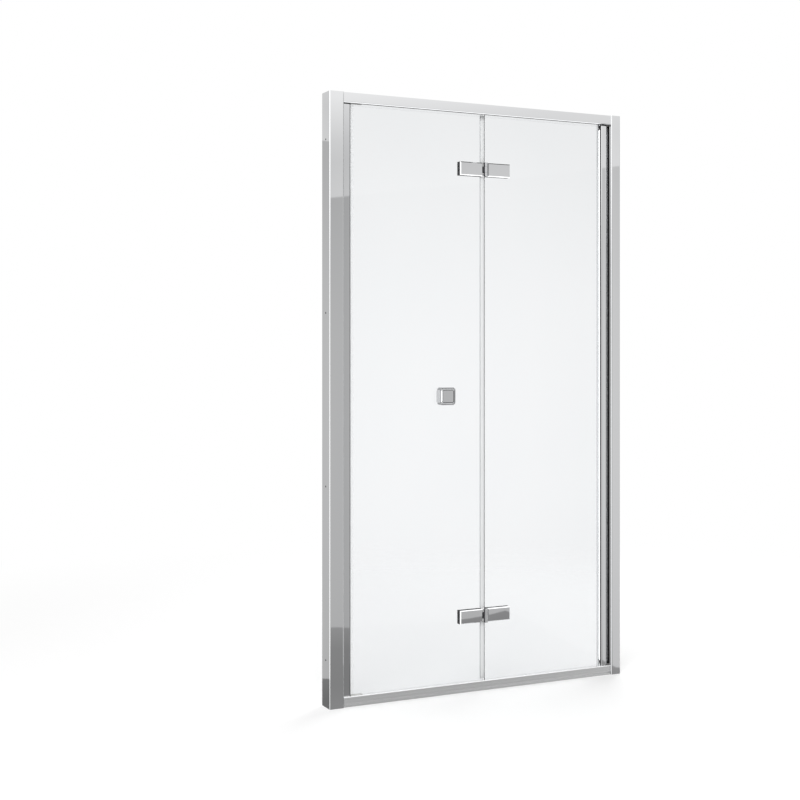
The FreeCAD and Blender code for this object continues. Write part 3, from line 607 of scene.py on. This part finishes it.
# Painted shade: a dark copy of the chrome for the hinges' sides and barrels and the knob's groove.
shade_painted_tones = ((0.05, 0.05, 0.053), (0.075, 0.075, 0.08))
shade_painted_chrome = surface_finish(
    "shade_painted_chrome", shade_painted_tones, (0.2, 0.32), (900, 900, 900), (40, 40, 40), 0.001 * mm, Metallic=1.0
)
chromes = [mirror_chrome, shade_painted_chrome]
polished, painted_shade = 0, 1
sink_radius = 5.35 * mm
back_bevel = 1.5 * mm
leaf_depth = 10.0 * mm
leaf_bevel = 2.5 * mm
fine_edge = 0.2 * mm
barrel_radius = 8.0 * mm
barrel_edge = 0.4 * mm
barrel_shade_painted_side = -5.0 * mm
knuckle_half = 10.0 * mm
arm_lap = 1.0 * mm
for level in ("upper", "lower"):
    pin_low, pin_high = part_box(f"{level}_hinge_pin")
    hinge_axis = (pin_low + pin_high) / 2
    dress_eased(stainless, pin_edge, f"{level}_hinge_pin")
    for panel in panels:
        leaf = f"{level}_hinge_{panel}"
        body = f"{panel}_panel"
        low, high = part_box(f"{leaf}_back_plate")
        screws = [box for box in solid_boxes(f"{panel}_hinge_screws") if low.z < box[0].z < high.z]
        holes = [((start + stop) / 2, sink_radius) for start, stop in screws]
        plate = bmesh.new()
        pierced_sheet(plate, low, high, holes, fine_edge, back_bevel, painted_shade)
        fit_piece(f"{leaf}_back_cover", plate, chromes, body, "chrome", f"{leaf}_back_plate",
                  flat_over=1e-5)
        front_low = Vector((low.x, -low.y - leaf_depth, low.z))
        front_high = Vector((high.x, -low.y, high.z))
        # Painted shade: the fold leaf's sides take the dark chrome.
        leaf_side = painted_shade if panel == "fold" else polished
        plate = bmesh.new()
        pierced_sheet(plate, front_low, front_high, [], leaf_bevel, fine_edge, leaf_side)
        middle = (low.z + high.z) / 2
        if panel == "fold":
            knuckles = [(middle - knuckle_half, middle + knuckle_half)]
            arm_ends = (high.x - arm_lap, hinge_axis.x)
        else:
            clear_half = knuckle_half + fine_edge
            knuckles = [(low.z, middle - clear_half), (middle + clear_half, high.z)]
            arm_ends = (hinge_axis.x, low.x + arm_lap)
        for bottom, top in knuckles:
            tall = top - bottom
            rings = [(0, barrel_radius - barrel_edge), (barrel_edge, barrel_radius),
                     (tall - barrel_edge, barrel_radius), (tall, barrel_radius - barrel_edge)]
            turned(plate, Vector((hinge_axis.x, hinge_axis.y, bottom)), (0, 0, 1), rings)
            arm_low = Vector((arm_ends[0], front_low.y + leaf_bevel, bottom))
            arm_high = Vector((arm_ends[1], front_high.y - fine_edge, top))
            pierced_sheet(plate, arm_low, arm_high, [], fine_edge, fine_edge, painted_shade)
        # Painted shade: barrel faces on the left side take the dark chrome.
        for face in plate.faces:
            off_axis = face.calc_center_median() - hinge_axis
            if math.hypot(off_axis.x, off_axis.y) < barrel_radius and off_axis.x < barrel_shade_painted_side:
                face.material_index = painted_shade
        fit_piece(f"{leaf}_leaf", plate, chromes, body, "chrome", f"{leaf}_plate", flat_over=1e-4)
for panel in panels:
    pads = bmesh.new()
    pads.from_mesh(nodes[f"{panel}_hinge_pads"].data)
    fit_piece(f"{panel}_rubber_pads", pads, [black_rubber], f"{panel}_panel", "black_rubber",
              f"{panel}_hinge_pads", flat_over=1e-4)


# Hinge screws: stainless cap screws with a hexagon socket, sunk in the back plates. They go through
# the drilled glass into the front leaves.
def hexagon(half_flats):
    def radius(turn):
        return half_flats / math.cos(turn % (math.pi / 3) - math.pi / 6)
    return radius


cap_height = 3.0 * mm
cap_shank = 3.0 * mm
socket_depth = 1.5 * mm
socket_half = 1.95 * mm
for panel in panels:
    screws = bmesh.new()
    for low, high in solid_boxes(f"{panel}_hinge_screws"):
        middle = (low + high) / 2
        head = (high.x - low.x) / 2
        seat = Vector((middle.x, high.y - cap_height, middle.z))
        length = seat.y - low.y
        turned(screws, seat, (0, 1, 0), [
            (-length, 0.6 * cap_shank), (-length + 0.5 * cap_shank, cap_shank), (0, cap_shank), (0, head),
            (cap_height - 0.5 * mm, head), (cap_height - 0.15 * mm, head - 0.15 * mm),
            (cap_height, head - 0.5 * mm), (cap_height, hexagon(socket_half + 0.2 * mm)),
            (cap_height - 0.2 * mm, hexagon(socket_half)), (cap_height - socket_depth, hexagon(socket_half)),
            (cap_height - 1.2 * socket_depth, 0.2 * mm),
        ])
    fit_piece(f"{panel}_cap_screws", screws, [stainless], f"{panel}_panel", "steel",
              f"{panel}_hinge_screws")


# Edge seals: soft PVC extrusions that grip the glass edges. The closing one is clear, with a magnet bar
# in its head. The fold one is milky and has a fin that meets the other panel, and milky washers lie
# under the knobs.
def soft_vinyl(name, grey, body):
    shades = ((grey, grey + 0.01, grey + 0.015), (grey + 0.05, grey + 0.06, grey + 0.065))
    grains = ((500, 500, 500), (20, 20, 4), 0.0003 * mm)
    return surface_finish(name, shades, (0.24, 0.36), *grains, Alpha=body)


milky_vinyl = soft_vinyl("milky_vinyl", 0.75, 1.0)
crystal_vinyl = soft_vinyl("crystal_vinyl", 0.88, 0.06)
seal_wall = 1.2 * mm
seal_grip = 10.0 * mm
lip_wall = 0.7 * mm
lip_taper = 3.0 * mm
grip_round = 0.3 * mm
fin_root_half = 1.0 * mm
fin_round = 0.4 * mm


def grip_sides(edge, inward, end, base):
    """Two gripping walls of a seal's section: its outside first, then the slot for the glass."""
    outer = glass_face + seal_wall
    thin = glass_face + lip_wall
    tip = edge + inward * end
    taper = edge + inward * (end - lip_taper)
    slot = edge - inward * play
    front = [(base, -outer, grip_round), (taper, -outer, grip_round), (tip, -thin, grip_round),
             (tip, -glass_face, 0.2 * mm), (slot, -glass_face, 0)]
    return front, [(u, -v, radius) for u, v, radius in reversed(front)]


def fin_sides(root, tip, tip_half):
    """A thin fin of a seal's section, out to its tip and back."""
    return [(root, fin_root_half, fin_round), (tip, tip_half, fin_round), (tip, -tip_half, fin_round),
            (root, -fin_root_half, fin_round)]


fold_low, fold_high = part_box("fold_glass")
lengths = solid_boxes("fold_edge_seal")
fin_root = fold_high.x + seal_wall
front, back = grip_sides(fold_high.x, -1, seal_grip, fin_root)
fin = fin_sides(fin_root, lengths[0][1].x, 0.45 * mm)
seal = bmesh.new()
for low, high in lengths:
    drawn(seal, rounded(front + back + fin), upright_place, low.z, high.z)
fit_piece("fold_fin_seal", seal, [milky_vinyl], "fold_panel", "clear_seal", "fold_edge_seal")

low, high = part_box("closing_edge_seal")
head_back = fold_low.x - play
front, back = grip_sides(fold_low.x, 1, seal_grip, head_back)
head = [(head_back, high.y, 0.6 * mm), (low.x, high.y, 1.2 * mm), (low.x, low.y, 1.2 * mm),
        (head_back, low.y, 0.6 * mm)]
fit_strip("closing_magnet_seal", rounded(front + back + head), upright_place, (low.z, high.z),
          crystal_vinyl, "fold_panel", "clear_seal", "closing_edge_seal")
bar_gap = 0.5 * mm
bar_round = 0.3 * mm
bar_left, bar_right, bar_half = low.x + bar_gap, head_back - bar_gap, high.y - bar_gap
bar = [(bar_left, -bar_half, bar_round), (bar_right, -bar_half, bar_round),
       (bar_right, bar_half, bar_round), (bar_left, bar_half, bar_round)]
bar_ends = (low.z + 1 * mm, high.z - 1 * mm)
fit_strip("closing_magnet_bar", rounded(bar), upright_place, bar_ends, magnet_sleeve, "fold_panel", "magnet")
dress_eased(milky_vinyl, 0.15 * mm, "knob_washers")

# Sweeps: drip seals of the clear PVC, pushed over the lower edges of the glass. Each has a fin that ends
# just over the track and sends water back into the shower.
sweep_grip = 8.0 * mm
for panel in panels:
    low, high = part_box(f"{panel}_panel_sweep")
    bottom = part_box(f"{panel}_glass")[0].z
    fin_root = bottom - seal_wall
    front, back = grip_sides(bottom, 1, sweep_grip, fin_root)
    fin = fin_sides(fin_root, low.z, 0.5 * mm)
    fit_strip(f"{panel}_drip_seal", rounded(front + back + fin), level_place, (low.x, high.x),
              crystal_vinyl, f"{panel}_panel", "clear_seal", f"{panel}_panel_sweep")

# Guides: nylon shoes bonded over the glass corners, turned stainless pins, and nylon rollers with a
# crowned tread that run in the tracks.
dress_eased(moulded_nylon, 0.6 * mm, "top_guide_shoe", "bottom_guide_shoe")
dress_eased(stainless, pin_edge, "top_guide_pin", "bottom_guide_pin")
roller_bore = 3.05 * mm
roller_groove = 0.7 * mm
for end in ("top", "bottom"):
    low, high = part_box(f"{end}_guide_roller")
    middle = (low + high) / 2
    radius = (high.x - low.x) / 2
    height = high.z - low.z
    end_face = [(0.0, 4.6 * mm), (roller_groove, 4.9 * mm), (roller_groove, 6.4 * mm), (0.0, 6.7 * mm),
                (0.15 * mm, radius - 0.5 * mm), (0.6 * mm, radius - 0.1 * mm)]
    rings = [(0.0, roller_bore)] + end_face + [(height / 2, radius)]
    rings += [(height - lift, ring) for lift, ring in reversed(end_face)] + [(height, roller_bore)]
    roller = bmesh.new()
    turned(roller, Vector((middle.x, middle.y, low.z)), (0, 0, 1), rings)
    fit_piece(f"{end}_crowned_roller", roller, [moulded_nylon], f"{end}_roller", "nylon",
              f"{end}_guide_roller")


# Knob: a square chromed grip with a flat satin rim, a slope up to its pad and a thin groove round that,
# painted dark as shade, a plainer grip on the shower side, and the stainless bolt that draws both together
# through the glass. The slope's top and bottom faces take the darker satin chrome as painted shade.
def square_ring(half, corner):
    corners = [(half, -half, corner), (half, half, corner), (-half, half, corner), (-half, -half, corner)]
    return rounded(corners, 8)


rim_shades = ((0.44, 0.445, 0.455), (0.48, 0.485, 0.495))
satin_and_shade_chrome = surface_finish(
    "satin_and_shade_chrome", rim_shades, (0.32, 0.42), (700, 700, 700), (25, 25, 25), 0.0004 * mm, Metallic=1.0
)
satin_and_shade = 2
# Each step of a grip has its rise from the glass, half its width and its corner radius, in mm.
outer_steps = (
    (0, 28.7, 9.7), (0.3, 29, 10), (20.2, 29, 10), (20.8, 28.4, 9.4), (20.8, 25.0, 7.8), (24, 21.6, 5.8),
    (23.2, 21.5, 5.8), (23.2, 19.7, 4.9), (24, 19.6, 4.8), (24, 10, 2.0),
)
inner_steps = ((0, 22.7, 7.7), (0.3, 23, 8), (9.5, 23, 8), (12, 20.5, 6.4), (12, 10, 2.0))
groove = (19.62 * mm, 21.58 * mm)
rim = (25.1 * mm, 28.8 * mm)
pad_area = 200 * mm * mm
for grip, side, steps in (("outer_knob", -1, outer_steps), ("inner_knob", 1, inner_steps)):
    low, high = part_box(grip)
    seat = (low + high) / 2
    seat.y = high.y if side < 0 else low.y
    rings = [(rise * mm, square_ring(half * mm, corner * mm)) for rise, half, corner in steps]
    knob = bmesh.new()
    turned(knob, seat, (0, side, 0), rings)
    knob.normal_update()
    for face in knob.faces:
        middle = face.calc_center_median() - seat
        reach = max(abs(middle.x), abs(middle.z))
        # Painted shade: the groove's faces take the dark chrome.
        if side < 0 and groove[0] < reach < groove[1] and face.calc_area() < pad_area:
            face.material_index = painted_shade
        # Painted shade: the slope's top and bottom faces take the satin chrome; the rim's satin is its own.
        shaded_level_slope = abs(face.normal.z) > 0.5 and groove[1] < reach < rim[0]
        if side < 0 and (shaded_level_slope or rim[0] < reach < rim[1]):
            face.material_index = satin_and_shade
    fit_piece(f"{grip}_polished", knob, chromes + [satin_and_shade_chrome], "fold_panel", "chrome", grip, sharp=20,
              flat_over=1e-4)
dress_eased(stainless, pin_edge, "knob_bolt")

# Floor: a pale painted board that runs far out of the picture. It keeps the door's soft shadow near the
# door and fades to plain white farther off, a little dimmer where the glass is in front of it.
scene = bpy.context.scene
scene.view_settings.view_transform = "Standard"
floor_half = 30.0
floor_mesh = bmesh.new()
bmesh.ops.create_grid(floor_mesh, x_segments=1, y_segments=1, size=floor_half)
floor_data = bpy.data.meshes.new("floor")
floor_mesh.to_mesh(floor_data)
floor_mesh.free()
floor = bpy.data.objects.new("floor", floor_data)
floor.location.z = cad_box[0].z - 0.3 * mm
scene.collection.objects.link(floor)
floor.visible_glossy = False
floor_paint = bpy.data.materials.new("floor_paint")
floor_paint.use_nodes = True
tree = floor_paint.node_tree
tree.nodes.clear()
white = (1, 1, 1, 1)
shadow_ends = (1.2, 3.5)
path = shade(tree, "LightPath", {})
place = shade(tree, "TexCoord", {})
away = shade(tree, "VectorMath", {0: place.outputs["Object"]}, operation="LENGTH").outputs["Value"]
fade = {"Value": away, "From Min": shadow_ends[0], "From Max": shadow_ends[1]}
far = shade(tree, "MapRange", fade, interpolation_type="SMOOTHSTEP").outputs["Result"]


def lit_paint(grey, glow):
    """Paint with a little light of its own."""
    paint = shade(tree, "BsdfDiffuse", {"Color": (grey, grey, grey, 1)})
    lift = shade(tree, "Emission", {"Color": white, "Strength": glow})
    return paint, shade(tree, "AddShader", {0: paint.outputs[0], 1: lift.outputs[0]})


def either(fac, first, second):
    return shade(tree, "MixShader", {0: fac, 1: first.outputs[0], 2: second.outputs[0]})


paint, near_look = lit_paint(0.92, 0.1)
far_look = shade(tree, "Emission", {"Color": white, "Strength": 1.0})
glass_near = lit_paint(0.45, 0.52)[1]
glass_far = shade(tree, "BsdfTransparent", {"Color": white})
whole = either(path.outputs["Is Camera Ray"], paint, either(far, near_look, far_look))
whole = either(path.outputs["Is Transmission Ray"], whole, either(far, glass_near, glass_far))
shade(tree, "OutputMaterial", {"Surface": whole.outputs[0]})
floor_data.materials.append(floor_paint)

# Lamps: two large round soft lamps on stands, one in front of the door on the left and one behind it on
# the right. They light the door and show in none of its reflections.
door_middle = (cad_box[0] + cad_box[1]) / 2
lamp_width = 3.0
for name, spot, power in (("key_lamp", (-2.6, -3.2, 3.6), 120.0), ("fill_lamp", (3.0, 2.6, 3.4), 90.0)):
    lamp = bpy.data.lights.new(name, "AREA")
    lamp.shape = "DISK"
    lamp.size = lamp_width
    lamp.energy = power
    holder = bpy.data.objects.new(name, lamp)
    holder.location = spot
    holder.rotation_euler = (door_middle - Vector(spot)).to_track_quat("-Z", "Y").to_euler()
    holder.visible_glossy = False
    holder.visible_transmission = False
    holder.visible_camera = False
    scene.collection.objects.link(holder)

# Room: a photographer's white tent, which the polished metal mirrors. Its ceiling and side walls are
# brighter than its middle and its ground is grey. A bright panel hangs on the left, two steep ones light
# the round edges, and dark cards behind the door give the chrome its lines.
room = bpy.data.worlds.new("studio")
scene.world = room
room.use_nodes = True
tree = room.node_tree
tree.nodes.clear()
heading = shade(tree, "TexCoord", {}).outputs["Generated"]
path = shade(tree, "LightPath", {})


def along(direction):
    return shade(tree, "VectorMath", {0: heading, 1: direction}, operation="DOT_PRODUCT").outputs["Value"]


def calc(operation, first, second=0.0):
    return shade(tree, "Math", {0: first, 1: second}, operation=operation).outputs[0]


def plain(grey):
    return (grey, grey, grey, 1)


def levels(value, stops):
    """Brightness of the room by a value from 0 to 1."""
    ramp = shade(tree, "ValToRGB", {"Fac": value})
    marks = ramp.color_ramp.elements
    marks[0].position, marks[1].position = stops[0][0], stops[-1][0]
    for position, _ in stops[1:-1]:
        marks.new(position)
    for mark, (_, grey) in zip(marks, stops):
        mark.color = plain(grey)
    return ramp.outputs["Color"]


def step(value, edge, softness):
    ends = {"Value": value, "From Min": edge - softness, "From Max": edge + softness}
    return shade(tree, "MapRange", ends, interpolation_type="SMOOTHSTEP").outputs["Result"]


def band(value, low_edge, high_edge):
    return calc("SUBTRACT", step(value, low_edge, 0.02), step(value, high_edge, 0.02))


def choose(fac, first, second):
    return shade(tree, "MixRGB", {"Fac": fac, "Color1": first, "Color2": second}).outputs["Color"]


def blend(mode, first, second):
    both = {"Fac": 1.0, "Color1": first, "Color2": second}
    return shade(tree, "MixRGB", both, blend_type=mode).outputs["Color"]


sideways = along((1, 0, 0))
side_share = calc("MULTIPLY", calc("ADD", sideways, 1.0), 0.5)
leftward = calc("MULTIPLY", sideways, -1.0)
inward = along((0, 1, 0))
upward = along((0, 0, 1))
ceiling_slant = along((-0.0845, -0.0575, 1))
walls = levels(side_share, (
    (0.0, 0.8), (0.2, 0.8), (0.25, 0.62), (0.31, 0.577), (0.6935, 0.556), (0.7825, 0.73), (0.84, 0.6),
    (0.9, 0.5),
))
back_walls = levels(side_share, (
    (0.0, 0.6), (0.14, 0.6), (0.18, 1.15), (0.235, 1.15), (0.262, 0.9), (0.285, 0.9), (0.31, 0.577),
    (0.7, 0.556), (0.93, 0.6), (0.955, 1.6),
))
walls = choose(step(inward, 0.03, 0.06), walls, back_walls)
from_middle = calc("ADD", upward, 0.057)
fall = calc("MINIMUM", calc("MULTIPLY", calc("MULTIPLY", from_middle, from_middle), 3.1), 0.12)
walls = blend("MULTIPLY", walls, calc("SUBTRACT", 1.0, fall))
ceiling = levels(ceiling_slant, (
    (0.131, 0.75), (0.157, 0.71), (0.172, 0.765), (0.205, 1.0), (0.5, 0.9),
))
ceiling_side = levels(calc("ABSOLUTE", sideways), ((0.38, 0.0), (0.565, 0.11), (0.85, 0.2)))
ceiling = blend("ADD", ceiling, ceiling_side)
ground_edge = levels(side_share, (
    (0.31, 0.238), (0.6906, 0.2021), (0.6946, 0.203), (0.7321, 0.1971), (0.7409, 0.1935),
    (0.7474, 0.1895), (0.7777, 0.2278),
))
below_edge = calc("SUBTRACT", calc("MULTIPLY", upward, -1.0), ground_edge)
ground = levels(below_edge, (
    (0.0, 0.34), (0.015, 0.28), (0.04, 0.27), (0.075, 0.33), (0.25, 0.75), (0.4, 0.9),
))
ground = blend("MULTIPLY", ground, levels(inward, ((0.0, 1.0), (0.1, 0.65))))
mirrored = choose(step(ceiling_slant, 0.1314, 0.0005), walls, ceiling)
mirrored = choose(step(below_edge, 0.0, 0.0003), mirrored, ground)
left_panel = calc("MULTIPLY", step(leftward, 0.82, 0.03), calc("LESS_THAN", inward, 0.05))
mirrored = choose(left_panel, mirrored, plain(2.4))
panel_widths = calc("MULTIPLY", band(sideways, 0.3, 0.62), band(inward, -0.2, 0.06))
steep_panels = calc("MULTIPLY", panel_widths, step(calc("ABSOLUTE", upward), 0.76, 0.04))
mirrored = choose(steep_panels, mirrored, plain(2.2))
card_heights = calc("MAXIMUM", band(upward, -0.26, -0.04), band(upward, 0.1, 0.3))
card_widths = calc("MULTIPLY", band(sideways, 0.34, 0.6), step(inward, 0.6, 0.05))
dark_cards = calc("MULTIPLY", card_widths, card_heights)
mirrored = choose(dark_cards, mirrored, plain(0.06))
ahead = along((0.4385, 0.8967, -0.06))
through_glass = levels(ahead, ((0.97, 0.892), (1.0, 1.0)))
room_light = plain(0.62)
level = choose(path.outputs["Is Glossy Ray"], room_light, mirrored)
level = choose(path.outputs["Is Transmission Ray"], level, through_glass)
level = choose(path.outputs["Is Camera Ray"], level, plain(1.0))
sky = shade(tree, "Background", {"Color": level, "Strength": 1.0})
shade(tree, "OutputWorld", {"Surface": sky.outputs[0]})

# Camera: level, in the room in front of the door and to its left, as the photographer stood. It is
# shifted down, so that the uprights stay upright.
camera = bpy.data.cameras.new("camera")
camera.lens = 60.65
camera.sensor_width = 36.0
camera.shift_y = -0.0643
viewer = bpy.data.objects.new("camera", camera)
viewer.location = (-2.185, -3.9515, 1.137)
turned_right = math.radians(25.63)
viewer.rotation_euler = (math.radians(90), 0, -turned_right)
scene.collection.objects.link(viewer)
scene.camera = viewer
